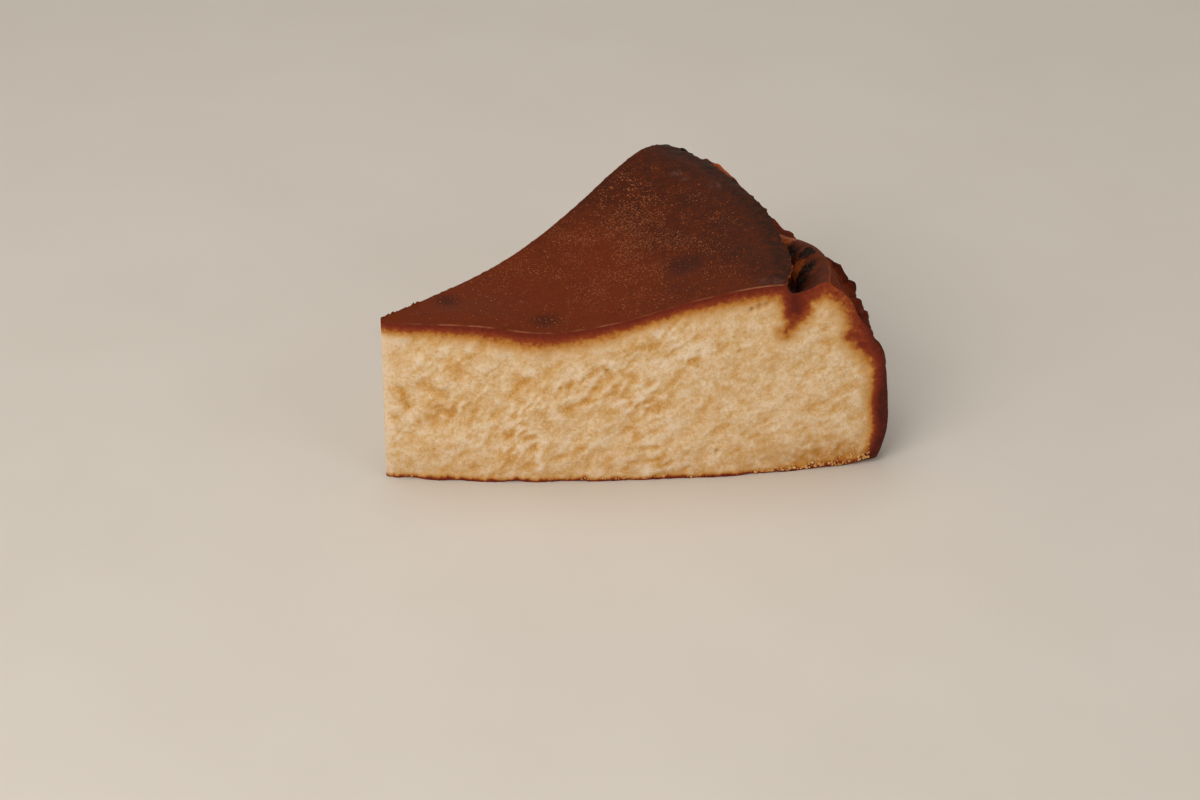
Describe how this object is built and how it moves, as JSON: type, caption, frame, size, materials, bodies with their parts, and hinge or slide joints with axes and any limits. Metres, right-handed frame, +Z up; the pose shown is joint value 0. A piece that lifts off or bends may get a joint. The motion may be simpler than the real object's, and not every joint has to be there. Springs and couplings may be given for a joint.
{
  "type": "cheesecake slice",
  "caption": "Wedge slice of burnt-top baked cheesecake: pale crumbly cut sides, a sagging dark brown top skin torn from a raised rim, and a pleated browned outer wall.",
  "frame": {"origin": "centre of the footprint of the slice's box, on the flat face that it rests on", "axes": "+X from the tip towards the outer wall along the near cut, +Y from the near cut towards the far cut, +Z up"},
  "size_m": [0.0948, 0.0732, 0.0401],
  "materials": {
    "baked_cheesecake": "soft moist pale crumb with a satin dark brown baked skin on the top and the outer wall"
  },
  "bodies": {
    "root": {"cheesecake_slice": "baked_cheesecake"}
  },
  "joints": []
}
